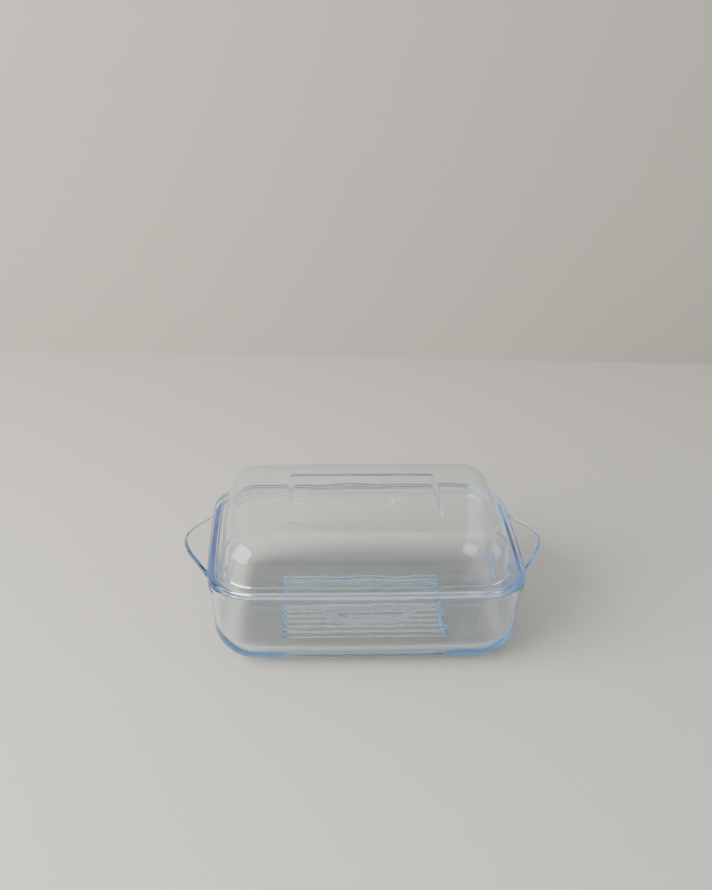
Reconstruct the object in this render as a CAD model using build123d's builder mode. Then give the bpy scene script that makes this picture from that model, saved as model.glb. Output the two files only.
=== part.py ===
"""Covered rectangular casserole dish in clear pressed glass: a deep dish with two end ears, and a
deep lift-off lid that rests on the dish's flanged rim.

Own frame: origin on the table under the middle of the dish, X along the length from ear to ear,
Y across, Z up. Millimetres.
"""
import math
import os

from build123d import *

# ---- driving dimensions ----------------------------------------------------------------------
RIM_X = 300.0          # rim length, without the ears
RIM_Y = 220.0          # rim depth
RIM_BOW = 2.0          # how far the middle of each side stands out past a straight side
RIM_CORNER = 46.0      # plan radius of the rim corners
EAR_REACH = 25.5       # how far each ear stands out past the rim
EAR_HALF = 64.0        # half the length of an ear along the rim
EAR_THICK = 7.6
EAR_TILT = 13.0        # degrees, tip upwards
EAR_ROOT_Z = 77.3      # middle of the plate where it leaves the rim
EAR_ROUND = 3.0        # rounding of its long edges
RIM_ROUND = 1.2        # softened edges of the dish rim

DISH_H = 81.5          # table to the top of the dish rim
DISH_WALL_IN = 1.8     # outer wall stands this far inside the rim's outer edge
DISH_FOOT_IN = 7.5     # the same at table level: the side walls lean in
DISH_HEEL = 34.0       # radius between the walls and the base, outside
DISH_WALL = 5.0        # wall thickness
DISH_FLOOR = 8.5       # base thickness
RIM_THICK = 7.0        # height of the dish rim's outer band
RIM_LAND = 12.0        # width of the flat on top of the dish rim

LID_GAP = 0.3          # air between the lid's flange and the dish's rim
LID_FLANGE = 6.2       # lid flange thickness
LID_FLANGE_ROUND = 1.2 # its outer top edge
LID_FOOT_IN = 12.5     # lid wall starts this far inside the flange's outer edge
LID_TOP_IN = 17.5      # the same at the height of the lid's top: the walls lean in
LID_TOP_Z = 129.5      # table to the top of the lid
LID_SHOULDER = 27.0    # radius between the lid's walls and its top, outside
LID_WALL = 4.5         # lid wall thickness
LID_SKIRT_DROP = 3.2   # short locating skirt hanging inside the dish rim
LID_SKIRT_CLEAR = 0.8  # air between the skirt and the dish's inner wall

PANEL = (143.0, 101.0)  # flat sunk panel on the lid's top
PANEL_DEEP = 1.6

RIB_HALF_X = 81.0      # the ribs on the base run from -this to +this
RIB_COUNT = 13
RIB_PITCH = 9.4
RIB_WIDE = 3.6
RIB_UP = 1.4

PAD = (80.0, 17.0)     # plain relief pad under the rim, front and back
PAD_OUT = 2.2

FOOT_HOLLOW = (158.0, 114.0, 3.0)  # shallow hollow under the base: length, width, depth


# ---- the rim's outline, moved inwards by `inset` ---------------------------------------------
def rim_shape(z, inset):
    """A face at height z: a rounded rectangle whose four sides bow gently outwards."""
    hx, hy = RIM_X / 2 - inset, RIM_Y / 2 - inset
    cx, cy = hx - RIM_BOW, hy - RIM_BOW
    with BuildSketch(Plane.XY.offset(z)) as sk:
        with BuildLine():
            ThreePointArc((cx, -cy), (hx, 0), (cx, cy))
            ThreePointArc((cx, cy), (0, hy), (-cx, cy))
            ThreePointArc((-cx, cy), (-hx, 0), (-cx, -cy))
            ThreePointArc((-cx, -cy), (0, -hy), (cx, -cy))
        make_face()
        fillet(sk.vertices(), RIM_CORNER - inset)
    return sk.sketch


def tapered(z0, inset0, z1, inset1):
    """A solid between two outlines."""
    with BuildPart() as body:
        add(rim_shape(z0, inset0))
        add(rim_shape(z1, inset1))
        loft(ruled=True)
    return body.part


# ---- dish ------------------------------------------------------------------------------------
lean = (DISH_FOOT_IN - DISH_WALL_IN) / DISH_H

with BuildPart() as dish_cavity:
    add(tapered(DISH_FLOOR, DISH_FOOT_IN - lean * DISH_FLOOR + DISH_WALL,
                DISH_H + 1, DISH_WALL_IN - lean + DISH_WALL))
    fillet(dish_cavity.faces().sort_by(Axis.Z)[0].edges(), DISH_HEEL - DISH_WALL)

# relief pads: the wall's own surface moved out, kept only where the pad's outline covers it
with BuildPart() as pads:
    add(tapered(0, DISH_FOOT_IN - PAD_OUT, DISH_H, DISH_WALL_IN - PAD_OUT))
    with BuildSketch(Plane.XZ) as pad_face:
        top_z = DISH_H - RIM_THICK + 1
        with BuildLine():
            Polyline((PAD[0] / 2, top_z - 2), (PAD[0] / 2, top_z), (-PAD[0] / 2, top_z), (-PAD[0] / 2, top_z - 2))
            Spline((-PAD[0] / 2, top_z - 2), (-PAD[0] * 0.27, top_z - PAD[1] * 0.88), (0, top_z - PAD[1]),
                   (PAD[0] * 0.27, top_z - PAD[1] * 0.88), (PAD[0] / 2, top_z - 2))
        make_face()
    extrude(amount=RIM_Y, both=True, mode=Mode.INTERSECT)


def ear_reach(t):
    """How far an ear stands out at the fraction t of its half length: a rounded point with soft ends."""
    return EAR_REACH * ((1 + math.cos(math.pi * t)) / 4 + math.cos(math.pi * t / 2) / 2)


# each ear is a plate that leaves the rim and tilts up towards its tip
def ear(side):
    """The ear on the +X (side 1) or -X (side -1) end."""
    tilt = math.radians(EAR_TILT)
    root = Plane(origin=(side * RIM_X / 2, 0, EAR_ROOT_Z), x_dir=(side * math.cos(tilt), 0, math.sin(tilt)),
                 z_dir=(-side * math.sin(tilt), 0, math.cos(tilt)))
    edge = [(ear_reach(k / 8), EAR_HALF * k / 8) for k in range(-8, 9)]
    with BuildPart() as plate:
        with BuildSketch(root):
            with BuildLine():
                rim = Spline(*edge)
                Polyline(rim @ 1, (-RIM_LAND, EAR_HALF * 0.8), (-RIM_LAND, -EAR_HALF * 0.8), rim @ 0)
            make_face()
        extrude(amount=EAR_THICK / 2, both=True)
        curved = plate.faces().sort_by(lambda f: side * f.center().X)[-1]
        long_edges = curved.edges().sort_by(lambda e: -e.length)[:2]
        fillet(long_edges, EAR_ROUND)
    return plate.part


with BuildPart() as band:
    add(tapered(DISH_H - RIM_THICK, 0, DISH_H, 0))
    fillet(band.faces().sort_by(Axis.Z)[-1].edges(), RIM_ROUND)
    fillet(band.faces().sort_by(Axis.Z)[0].edges(), RIM_ROUND)

with BuildPart() as dish:
    add(tapered(0, DISH_FOOT_IN, DISH_H, DISH_WALL_IN))
    fillet(dish.faces().sort_by(Axis.Z)[0].edges(), DISH_HEEL)
    add(pads.part)
    add(band.part)
    add(ear(1))
    add(ear(-1))
    add(dish_cavity.part, mode=Mode.SUBTRACT)
    # low ribs on the floor of the dish, and a shallow hollow under the base
    with BuildSketch(Plane.XY.offset(DISH_FLOOR - 1)):
        with GridLocations(0, RIB_PITCH, 1, RIB_COUNT):
            SlotOverall(2 * RIB_HALF_X, RIB_WIDE)
    extrude(amount=RIB_UP + 1)
    with BuildSketch(Plane.XY):
        RectangleRounded(FOOT_HOLLOW[0], FOOT_HOLLOW[1], 6)
    extrude(amount=FOOT_HOLLOW[2], mode=Mode.SUBTRACT)
    inner_rim = dish.edges().filter_by_position(Axis.Z, DISH_H - 0.01, DISH_H + 0.01).filter_by(
        lambda e: abs(e.center().X) < RIM_X / 2 - 5 and abs(e.center().Y) < RIM_Y / 2 - 5)
    fillet(inner_rim, RIM_ROUND)

# ---- lid -------------------------------------------------------------------------------------
flange_z = DISH_H + LID_GAP
skirt_in = DISH_WALL_IN + DISH_WALL + LID_SKIRT_CLEAR
skirt_z = DISH_H - LID_SKIRT_DROP

with BuildPart() as lid_cavity:
    add(tapered(skirt_z - 1, LID_FOOT_IN + LID_WALL - 0.5, LID_TOP_Z - LID_WALL, LID_TOP_IN + LID_WALL))
    fillet(lid_cavity.faces().sort_by(Axis.Z)[-1].edges(), LID_SHOULDER - LID_WALL)

with BuildPart() as lid_flange:
    add(tapered(flange_z, 0, flange_z + LID_FLANGE, 0))
    fillet(lid_flange.faces().sort_by(Axis.Z)[-1].edges(), LID_FLANGE_ROUND)
    add(tapered(skirt_z, skirt_in + 0.6, flange_z + 1, skirt_in))
    fillet(lid_flange.faces().sort_by(Axis.Z)[0].edges(), 1.0)

with BuildPart() as lid:
    add(tapered(flange_z, LID_FOOT_IN, LID_TOP_Z, LID_TOP_IN))
    fillet(lid.faces().sort_by(Axis.Z)[-1].edges(), LID_SHOULDER)
    add(lid_flange.part)
    with BuildSketch(Plane.XY.offset(LID_TOP_Z)):
        RectangleRounded(PANEL[0], PANEL[1], 6)
    extrude(amount=-PANEL_DEEP, mode=Mode.SUBTRACT)
    add(lid_cavity.part, mode=Mode.SUBTRACT)

# ---- export ----------------------------------------------------------------------------------
os.makedirs("parts", exist_ok=True)
dish.part.label = "dish"
lid.part.label = "lid"
export_step(dish.part, "parts/dish.step")
export_step(lid.part, "parts/lid.step")
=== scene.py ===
"""Looks of the covered glass casserole dish: two pressed-glass pieces on a pale studio floor."""
import math
import random

import bmesh
import bpy
import numpy as np
from mathutils import Matrix, Vector


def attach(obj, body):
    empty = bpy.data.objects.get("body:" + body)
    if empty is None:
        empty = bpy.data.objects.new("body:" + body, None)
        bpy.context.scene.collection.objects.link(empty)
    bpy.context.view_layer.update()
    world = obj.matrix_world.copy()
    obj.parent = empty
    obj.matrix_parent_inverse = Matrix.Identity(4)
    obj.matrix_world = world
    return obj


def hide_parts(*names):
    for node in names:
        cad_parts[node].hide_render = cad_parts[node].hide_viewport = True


# ---------------------------------------------------------------- frame
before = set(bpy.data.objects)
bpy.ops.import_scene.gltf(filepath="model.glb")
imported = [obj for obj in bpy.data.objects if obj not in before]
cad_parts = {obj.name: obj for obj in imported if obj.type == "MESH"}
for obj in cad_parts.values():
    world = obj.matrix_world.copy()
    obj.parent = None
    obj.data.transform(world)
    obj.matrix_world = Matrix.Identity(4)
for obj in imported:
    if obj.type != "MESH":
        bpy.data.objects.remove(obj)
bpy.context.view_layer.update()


# ---------------------------------------------------------------- measures, in millimetres
# "inset" always means the distance inwards from the rim's outer edge
MM = 0.001
RIM_X, RIM_Y, BOW, CORNER = 150.0, 110.0, 2.0, 46.0  # half length, half depth, side bow, plan radius
HALF_X, HALF_Y = RIM_X - BOW - CORNER, RIM_Y - BOW - CORNER  # half the straight part of each side
RIM_THICK, RIM_EDGE = 7.0, 1.2  # height of the dish rim's band, and how far its edges are softened

DISH_H, DISH_FLOOR, DISH_WALL, HEEL = 81.5, 8.5, 5.0, 34.0
WALL_IN, FOOT_IN = 1.8, 7.5  # inset of the outer wall at the rim and on the table
HOLLOW_X, HOLLOW_Y, HOLLOW_R, HOLLOW_UP, HOLLOW_SLOPE = 79.0, 57.0, 6.0, 3.0, 3.0  # under the base
RIB_X, RIB_PITCH, RIB_WIDE, RIB_N, RIB_UP, RIB_FLANK = 81.0, 9.4, 3.6, 13, 1.4, 0.45  # on the floor
PAD_X, PAD_DROP, PAD_OUT, PAD_EDGE = 40.0, 17.0, 2.2, 1.6  # relief pad under the rim, front and back

EAR_REACH, EAR_HALF, EAR_RISE, EAR_EDGE = 25.5, 64.0, 0.23, 3.4  # reach, half length, slope, edge
EAR_LOW, EAR_HIGH = 73.6, 81.1  # underside and top of an ear where it leaves the rim
EAR_FADE = 4.0  # reach over which the rim's band turns into the ear's plate
EAR_NEAR = 40.0  # the ears stand on outline points that are nearer than this to the rim's ends

LID_GAP, LID_TOP, LID_FLANGE, LID_WALL, SHOULDER = 0.3, 129.5, 6.2, 4.5, 27.0
LID_FOOT_IN, LID_TOP_IN = 12.5, 17.5  # inset of the lid's outer wall at the flange and at its top
LID_HOLLOW_IN = 16.6  # inset of its inner wall at the skirt's foot
SKIRT_IN, SKIRT_FOOT_IN, SKIRT_DROP = 7.6, 8.2, 3.5  # outer face of the locating skirt
PANEL_X, PANEL_Y, PANEL_R, PANEL_UP = 71.5, 50.5, 6.0, -1.6  # sunk panel on the lid
PANEL_SLOPE_X, PANEL_SLOPE_Y = 6.5, 3.0  # width of its sloping edge, at the ends and along the sides
PANEL_BLEND = 8.0  # distance over which one width turns into the other at the panel's corners

N_ARC = 16  # samples round each corner in plan
RING_GAP = 3.0  # a longer gap between rings is filled

# ---------------------------------------------------------------- geometry helpers
def smooth(t):
    """A soft step from 0 to 1."""
    t = np.clip(t, 0.0, 1.0)
    return t * t * (3 - 2 * t)


def ring(inset, tx, ty):
    """Rim outline moved inwards: a rounded rectangle with bowed sides, always sampled alike."""
    r = max(CORNER - inset, 1.0)
    a, b = RIM_X - inset, RIM_Y - inset
    cx, cy = a - BOW - r, b - BOW - r
    x, y = cx * tx, cy * ty
    side_y = b - BOW * (x / (a - BOW)) ** 2
    side_x = a - BOW * (y / (b - BOW)) ** 2
    # the bow at the ends of the straight parts, carried round the corners
    ex, ey = a - BOW * (cy / (b - BOW)) ** 2 - r, b - BOW * (cx / (a - BOW)) ** 2 - r
    arc = (np.arange(N_ARC) + 0.5) / N_ARC * (math.pi / 2)
    c, s = r * np.cos(arc), r * np.sin(arc)
    parts = [
        (side_x, y), (ex + c, ey + s),  # +X side with Y rising, and the corner after it
        (x[::-1], side_y), (-ex - s, ey + c),  # +Y side
        (-side_x, y[::-1]), (-ex - c, -ey - s),  # -X side
        (x, -side_y), (ex + s, -ey - c),  # -Y side
    ]
    return np.concatenate([np.stack(part, 1) for part in parts])


def profile(corners):
    """Points (inset, z) along a polyline of corners (inset, z, radius, steps), each one rounded.

    The first and last corner only give a direction. Long straight stretches get points of their own.
    """
    at = [np.array(corner[:2], float) for corner in corners]
    arcs = []
    for i in range(1, len(corners) - 1):
        p, (radius, steps) = at[i], corners[i][2:]
        a, b = at[i - 1] - p, at[i + 1] - p
        a, b = a / np.linalg.norm(a), b / np.linalg.norm(b)
        half = math.acos(np.clip(a @ b, -1, 1)) / 2
        reach = radius / math.tan(half)
        c = p + (a + b) / np.linalg.norm(a + b) * (radius / math.sin(half))
        u, v = p + a * reach - c, p + b * reach - c
        turn = math.pi - 2 * half
        for k in range(steps + 1):
            w = turn * k / steps
            arcs.append(c + (u * math.sin(turn - w) + v * math.sin(w)) / math.sin(turn))
    out = []
    for a, b in zip(arcs, arcs[1:]):
        out.append(a)
        n = int(np.linalg.norm(a - b) / RING_GAP)
        out += [a + (b - a) * (k + 1) / (n + 1) for k in range(n)]
    return out + [arcs[-1]]


class Shell:
    """Rings joined by quads, closed at both ends by a grid cap."""

    def __init__(self, tx, ty):
        self.tx, self.ty = tx, ty
        self.verts, self.faces = [], []
        self.n = 2 * (len(tx) + len(ty)) + 4 * N_ARC
        self.last = None

    def count(self):
        return sum(len(v) for v in self.verts)

    def add(self, xy, z):
        """Adds a ring and returns its first vertex and its points."""
        base = self.count()
        self.verts.append(np.column_stack([xy, np.broadcast_to(z, (self.n,))]))
        if self.last is not None:
            for k in range(self.n):
                j = (k + 1) % self.n
                self.faces.append((self.last + k, self.last + j, base + j, base + k))
        self.last = base
        return base, xy

    def cap(self, end, height, flip):
        """Fills the ring `end` (first vertex and points); height(x, y) gives the cap's z."""
        first, xy_ring = end
        nx, ny = len(self.tx), len(self.ty)
        base = self.count()
        gx = xy_ring[ny + N_ARC: ny + N_ARC + nx][::-1, 0]
        gy = xy_ring[:ny, 1]
        x, y = (grid.ravel() for grid in np.meshgrid(gx, gy, indexing="ij"))
        self.verts.append(np.column_stack([x, y, height(x, y)]))

        def at(i, j):
            return base + i * ny + j

        def face(*v):
            self.faces.append(tuple(reversed(v)) if flip else v)

        for i in range(nx - 1):
            for j in range(ny - 1):
                face(at(i, j), at(i + 1, j), at(i + 1, j + 1), at(i, j + 1))
        # the grid's four sides in ring order (+X, +Y, -X, -Y), each with its first ring vertex
        sides = [
            ([at(nx - 1, j) for j in range(ny)], 0),
            ([at(i, ny - 1) for i in reversed(range(nx))], ny + N_ARC),
            ([at(0, j) for j in reversed(range(ny))], ny + nx + 2 * N_ARC),
            ([at(i, 0) for i in range(nx)], 2 * ny + nx + 3 * N_ARC),
        ]
        for line, start in sides:
            for k in range(len(line) - 1):
                face(line[k], first + start + k, first + start + k + 1, line[k + 1])
            # a fan round the corner that follows
            corner = start + len(line) - 1
            for k in range(corner, corner + N_ARC + 1):
                face(line[-1], first + k % self.n, first + (k + 1) % self.n)

    def rippled(self, start, ripple, flat, upright):
        """All points, with the inner skin from the ring at vertex `start` on shifted by a ripple.

        It moves upwards where flat(z) is 1 and outwards where upright(z) is 1.
        """
        v = np.concatenate(self.verts)
        inside = np.zeros(len(v), bool)
        inside[start: self.last + self.n] = True
        inside[-len(self.tx) * len(self.ty):] = True  # the cap that was added last
        amp = np.where(inside, ripple(v[:, 0] + v[:, 2] * 0.7, v[:, 1] - v[:, 2] * 0.6), 0.0)
        v[:, 2] += amp * flat(v[:, 2])
        outwards = amp * upright(v[:, 2])
        for axis, clear, fade in ((0, 90, 40), (1, 60, 30)):  # none in the middle, all at the walls
            near = smooth((np.abs(v[:, axis]) - clear) / fade)
            v[:, axis] += outwards * np.sign(v[:, axis]) * near
        return v

    def mesh(self, name, verts):
        me = bpy.data.meshes.new(name)
        me.from_pydata((verts * MM).tolist(), [], self.faces)
        me.validate()
        me.update()
        ob = bpy.data.objects.new(name, me)
        bpy.context.scene.collection.objects.link(ob)
        return ob


def waves(seed, count, short, long, height):
    """A soft random ripple field, for the slightly uneven surface of pressed glass.

    It adds up `count` waves with lengths from short to long; height sets how strong they are.
    """
    rnd = random.Random(seed)
    parts = []
    for _ in range(count):
        length = rnd.uniform(short, long)
        way = rnd.uniform(0, math.pi)
        parts.append((math.cos(way) * 2 * math.pi / length, math.sin(way) * 2 * math.pi / length,
                      rnd.uniform(0, 2 * math.pi), height / math.sqrt(count)))

    def field(p, q):
        total = np.zeros_like(p)
        for kx, ky, ph, amp in parts:
            total += amp * np.sin(kx * p + ky * q + ph)
        return total

    return field


def spread(edges, fine, coarse, half):
    """Sample positions along a side from -1 to 1, close together round each edge (given in mm)."""
    marks = {-half, half}
    for e in edges:
        for d in fine:
            if -half < e + d < half:
                marks.add(round(e + d, 4))
    marks = sorted(marks)
    full = []
    for a, b in zip(marks, marks[1:]):
        n = max(1, int(math.ceil((b - a) / coarse)))
        full += [a + (b - a) * k / n for k in range(n)]
    return np.array(full + [half]) / half


def sunk(x, y, half_x, half_y, radius):
    """Distance to a rounded rectangle (negative inside), and by how much X leads Y beyond it."""
    qx, qy = np.abs(x) - half_x + radius, np.abs(y) - half_y + radius
    beyond = np.hypot(np.maximum(qx, 0), np.maximum(qy, 0))
    return beyond + np.minimum(np.maximum(qx, qy), 0) - radius, qx - qy


# ---------------------------------------------------------------- dish
def ear_reach(xy):
    """How far the ear stands out past the rim beside each point of the outline."""
    y = np.clip(xy[:, 1] / EAR_HALF, -1, 1)
    reach = EAR_REACH * ((1 + np.cos(math.pi * y)) / 4 + np.cos(math.pi * y / 2) / 2)
    return np.where(np.abs(xy[:, 0]) > RIM_X - EAR_NEAR, reach, 0.0)


def pad_share(xy, below_rim):
    """1 where the relief pad covers the wall, 0 beside it and below it."""
    x = np.abs(xy[:, 0])
    depth = PAD_DROP * np.sqrt(np.clip(1 - (x / PAD_X) ** 4, 0, 1))
    return smooth((depth - below_rim) / PAD_EDGE) * smooth((PAD_X - x) / PAD_EDGE)


def ear_section():
    """Stops round an ear, from the rim out and back: (share of the reach, edge bulge, height)."""
    stops = (0.12, 0.25, 0.4, 0.55, 0.7, 0.82, 0.92)
    edge_steps = 12
    out = [(f, 0.0, 0.0) for f in stops]
    for k in range(edge_steps):
        t = math.pi * (k + 0.5) / edge_steps
        out.append((1.0, math.sin(t), (1 - math.cos(t)) / 2))
    return out + [(f, 0.0, 1.0) for f in stops[::-1]] + [(0.04, 0.0, 1.0)]


def dish_mesh():
    lines = [RIB_PITCH * (k - (RIB_N - 1) / 2) for k in range(RIB_N)]
    half = RIB_WIDE / 2
    rib_end = (-2.4, -1.8, -1.2, -0.6, 0, 0.6, 1.2, 1.8, 2.4)
    rib_side = (0.0, half - 0.5, half - 0.38, half - 0.25, half - 0.12, half)
    steps = [line + way * step for line in lines for step in rib_side for way in (-1, 1)]
    tx = spread([-RIB_X, RIB_X], rib_end, coarse=3.0, half=HALF_X)
    ty = spread(steps + [-HOLLOW_Y, HOLLOW_Y], (0.0,), coarse=2.6, half=HALF_Y)
    s = Shell(tx, ty)
    lean = (FOOT_IN - WALL_IN) / DISH_H
    low, high = DISH_H - RIM_THICK, DISH_H

    # outside: from the base up the wall to the underside of the rim
    outer = ring(0.0, tx, ty)
    reach = ear_reach(outer)
    share = smooth(reach / EAR_FADE)
    rings = []
    for inset, z in profile([
            (FOOT_IN + HEEL + 2, 0.0, 0, 0),
            (FOOT_IN, 0.0, HEEL, 20),
            (FOOT_IN - lean * low, low, 1.0, 4),
            (0.0, low, 0.9, 5),
            (0.0, high, 0, 0)]):
        xy = ring(inset, tx, ty)
        if inset > 2.0 and z < low - 0.1:  # on the wall, below the rim
            xy[:, 1] += np.sign(xy[:, 1]) * PAD_OUT * pad_share(xy, low - z)
        elif inset < 2.2 and z > low - 0.01:  # on the rim's underside, where the ears begin
            z = z * (1 - share) + EAR_LOW * share
            xy[:, 0] = xy[:, 0] * (1 - share) + outer[:, 0] * share
        rings.append(s.add(xy, z))
    base = rings[0]

    # rim and ears: out along an ear's underside, round its edge, back along its top
    section = ear_section()
    plate, edge = np.maximum(reach - EAR_EDGE, 0.0), np.minimum(reach, EAR_EDGE)
    for j, (along, bulge, up) in enumerate(section):
        out_by = plate * along + edge * bulge
        xy = outer.copy()
        xy[:, 0] += np.sign(outer[:, 0]) * out_by
        rim_z = low + RIM_EDGE + (high - low - 2 * RIM_EDGE) * (j + 1) / (len(section) + 1)
        ear_z = EAR_LOW + (EAR_HIGH - EAR_LOW) * up + EAR_RISE * out_by
        s.add(xy, rim_z * (1 - share) + ear_z * share)

    # top of the rim, then down the inside
    inner_in = WALL_IN + DISH_WALL
    inner = [s.add(ring(inset, tx, ty), z) for inset, z in profile([
        (0.0, low + 3, 0, 0),
        (0.0, high, RIM_EDGE, 6),
        (inner_in, high, RIM_EDGE, 6),
        (inner_in + lean * (high - DISH_FLOOR), DISH_FLOOR, HEEL - DISH_WALL, 18),
        (54.0, DISH_FLOOR, 0, 0)])]

    def ribbed(x, y):
        z = np.zeros_like(x)
        for line in lines:
            end = np.maximum(np.abs(x) - (RIB_X - half), 0.0)
            off = np.hypot(end, y - line) / half
            z = np.maximum(z, RIB_UP * smooth((1 - off) * half / RIB_FLANK))
        return DISH_FLOOR + z

    def hollow(x, y):
        distance, _ = sunk(x, y, HOLLOW_X, HOLLOW_Y, HOLLOW_R)
        return HOLLOW_UP * smooth(-distance / HOLLOW_SLOPE)

    s.cap(base, hollow, flip=True)
    s.cap(inner[-1], ribbed, flip=False)
    ripple = waves(seed=11, count=9, short=28.0, long=80.0, height=0.05)
    return s.mesh("dish_glass_body", s.rippled(
        inner[0][0], ripple,
        lambda z: smooth((30 - z) / 20),
        lambda z: smooth((z - 20) / 20) * smooth((78 - z) / 8)))


# ---------------------------------------------------------------- lid
def lid_mesh():
    edge = (-6, -5, -4, -3, -2.4, -1.8, -1.2, -0.8, -0.4, 0.0, 0.4, 0.8, 1.2, 1.8, 2.4, 3, 4, 5, 6)
    tx = spread([-PANEL_X, PANEL_X], edge, coarse=2.0, half=HALF_X)
    ty = spread([-PANEL_Y, PANEL_Y], edge, coarse=2.0, half=HALF_Y)
    s = Shell(tx, ty)
    low, flange, ceiling = DISH_H + LID_GAP, DISH_H + LID_GAP + LID_FLANGE, LID_TOP - LID_WALL
    lean = (LID_TOP_IN - LID_FOOT_IN) / (LID_TOP - low)
    # from the top down the outside, round the flange and the skirt, and up the inside
    points = profile([
        (LID_TOP_IN + SHOULDER + 4, LID_TOP, 0, 0),
        (LID_TOP_IN, LID_TOP, SHOULDER, 18),
        (LID_TOP_IN - lean * (LID_TOP - flange), flange, 1.8, 5),
        (0.0, flange, 1.2, 5),
        (0.0, low, 0.9, 4),
        (SKIRT_IN, low, 0.5, 3),
        (SKIRT_FOOT_IN, low - SKIRT_DROP, 1.1, 4),
        (LID_HOLLOW_IN, low - SKIRT_DROP, 1.4, 4),
        (LID_TOP_IN + LID_WALL, ceiling, SHOULDER - LID_WALL, 18),
        (46.0, ceiling, 0, 0)])
    rings = [s.add(ring(inset, tx, ty), z) for inset, z in points]
    lowest = rings[int(np.argmin([z for _, z in points]))]

    def panel(x, y):
        distance, lead = sunk(x, y, PANEL_X, PANEL_Y, PANEL_R)
        at_end = smooth(lead / PANEL_BLEND + 0.5)
        slope = PANEL_SLOPE_Y + (PANEL_SLOPE_X - PANEL_SLOPE_Y) * at_end
        return LID_TOP + PANEL_UP * smooth(0.5 - distance / slope)

    s.cap(rings[0], panel, flip=False)
    s.cap(rings[-1], lambda x, y: np.full_like(x, ceiling), flip=True)
    ripple = waves(seed=5, count=9, short=30.0, long=90.0, height=0.07)
    return s.mesh("lid_glass_body", s.rippled(
        lowest[0], ripple,
        lambda z: smooth((z - 100) / 15),
        lambda z: smooth((z - 82) / 8) * smooth((120 - z) / 15)))


def outward(ob):
    """Makes all face normals point out of the glass."""
    me = ob.data
    bm = bmesh.new()
    bm.from_mesh(me)
    bmesh.ops.recalc_face_normals(bm, faces=bm.faces)
    open_edges = sum(1 for e in bm.edges if len(e.link_faces) != 2)
    bm.to_mesh(me)
    volume = bm.calc_volume(signed=True)
    bm.free()
    if volume < 0:
        me.flip_normals()
    me.shade_smooth()
    litres = round(abs(volume) * 1000, 4)
    print(ob.name, "faces", len(me.polygons), "open edges", open_edges, "litres", litres)


dish = dish_mesh()
lid = lid_mesh()
for ob in (dish, lid):
    outward(ob)

# ---------------------------------------------------------------- glass
GLASS_IOR = 1.47
GLASS_TINT, GLASS_DENSITY = (0.06, 0.54, 0.86, 1), 9.5  # what a long way through the glass leaves


def glass(name):
    mat = bpy.data.materials.new(name)
    mat.use_nodes = True
    nt = mat.node_tree
    nt.nodes.clear()
    out = nt.nodes.new("ShaderNodeOutputMaterial")
    p = nt.nodes.new("ShaderNodeBsdfPrincipled")
    p.inputs["Base Color"].default_value = (1, 1, 1, 1)
    p.inputs["Roughness"].default_value = 0.0
    p.inputs["IOR"].default_value = GLASS_IOR
    p.inputs["Transmission Weight"].default_value = 1.0
    vol = nt.nodes.new("ShaderNodeVolumeAbsorption")
    vol.inputs["Color"].default_value = GLASS_TINT
    vol.inputs["Density"].default_value = GLASS_DENSITY
    nt.links.new(p.outputs["BSDF"], out.inputs["Surface"])
    nt.links.new(vol.outputs["Volume"], out.inputs["Volume"])
    return mat


dish.data.materials.append(glass("dish_glass"))
lid.data.materials.append(glass("lid_glass"))
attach(dish, "dish")
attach(lid, "lid")
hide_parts("dish")
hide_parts("lid")


# ---------------------------------------------------------------- floor, light and camera
# camera: yaw, pitch and roll, focal length in pixels of the photo, and place in metres
YAW, PITCH, ROLL = math.radians(3.18), math.radians(25.03), math.radians(1.16)
FOCAL_PX, PHOTO_HEIGHT_PX, SENSOR = 1230.0, 890.0, 36.0
CAM_HEIGHT, CAM_AWAY, CAM_LEFT = 0.6797, 1.0589, 0.0093
CLIP_START, CLIP_END = 0.01, 50
FLOOR_DROP = 0.0006  # keeps the floor clear of the land under the base

WARM = (1.0, 0.96, 0.90)
LIGHTS = [  # name, place, aim, size in metres, watts
    ("key_left", (-1.4, -0.8, 0.8), (0, -0.1, 0.05), (1.9, 1.9), 88),
    ("fill_right", (1.7, -0.5, 0.8), (0, 0, 0.1), (0.9, 1.4), 7),
    ("top", (-0.2, 0.0, 2.4), (0, 0, 0.0), (3.6, 2.4), 22),
]
SKY, SKY_STRENGTH = (0.26, 0.31, 0.38, 1), 1.0
MAX_BOUNCES, GLASS_BOUNCES = 64, 48  # light has to pass through many layers of glass


def plain(name, colour, rough):
    mat = bpy.data.materials.new(name)
    mat.use_nodes = True
    p = mat.node_tree.nodes["Principled BSDF"]
    p.inputs["Base Color"].default_value = (*colour, 1)
    p.inputs["Roughness"].default_value = rough
    p.inputs["Specular IOR Level"].default_value = 0.2
    return mat


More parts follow.
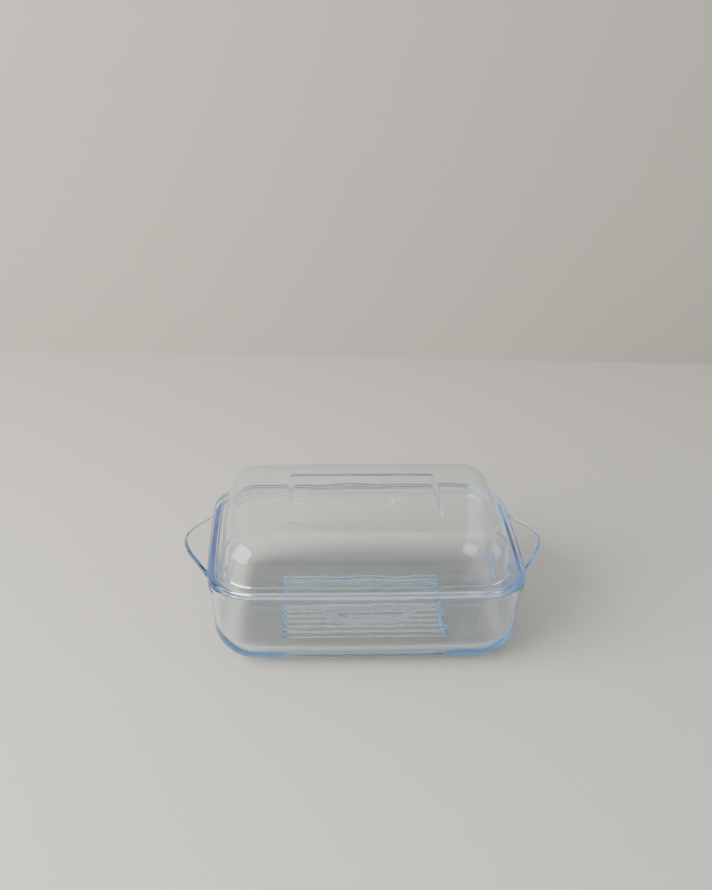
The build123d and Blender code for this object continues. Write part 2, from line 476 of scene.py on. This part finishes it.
bpy.ops.mesh.primitive_plane_add(size=1, location=(0, 0, -FLOOR_DROP))
floor = bpy.context.object
floor.name = "floor"
floor.scale = (12, 12, 1)
floor.data.materials.append(plain("floor", (0.60, 0.575, 0.52), rough=0.8))
bpy.ops.mesh.primitive_plane_add(size=1, location=(0, 0.72, 0.6), rotation=(math.pi / 2, 0, -YAW))
wall = bpy.context.object
wall.name = "backdrop"
wall.scale = (3.2, 1.3, 1)
wall.data.materials.append(plain("backdrop", (0.42, 0.40, 0.36), rough=0.85))

for name, at, aim, size, power in LIGHTS:
    light = bpy.data.lights.new(name, "AREA")
    light.shape = "RECTANGLE"
    light.size, light.size_y = size
    light.energy = power
    light.color = WARM
    ob = bpy.data.objects.new(name, light)
    bpy.context.scene.collection.objects.link(ob)
    ob.location = at
    ob.rotation_euler = (Vector(aim) - Vector(at)).to_track_quat("-Z", "Y").to_euler()

world = bpy.data.worlds.new("world")
bpy.context.scene.world = world
world.use_nodes = True
world.node_tree.nodes["Background"].inputs["Color"].default_value = SKY
world.node_tree.nodes["Background"].inputs["Strength"].default_value = SKY_STRENGTH

cam_data = bpy.data.cameras.new("camera")
cam = bpy.data.objects.new("camera", cam_data)
bpy.context.scene.collection.objects.link(cam)
bpy.context.scene.camera = cam
cam_data.sensor_width = SENSOR
cam_data.lens = FOCAL_PX / PHOTO_HEIGHT_PX * SENSOR
cam_data.clip_start, cam_data.clip_end = CLIP_START, CLIP_END
cam_x = -CAM_LEFT * math.cos(YAW) - CAM_AWAY * math.sin(YAW)
cam_y = CAM_LEFT * math.sin(YAW) - CAM_AWAY * math.cos(YAW)
aim = Matrix.Rotation(-YAW, 4, "Z") @ Matrix.Rotation(math.pi / 2 - PITCH, 4, "X")
cam.matrix_world = (Matrix.Translation((cam_x, cam_y, CAM_HEIGHT)) @ aim
                    @ Matrix.Rotation(ROLL, 4, "Z"))

cycles = bpy.context.scene.cycles
cycles.max_bounces = MAX_BOUNCES
cycles.transmission_bounces = cycles.glossy_bounces = GLASS_BOUNCES
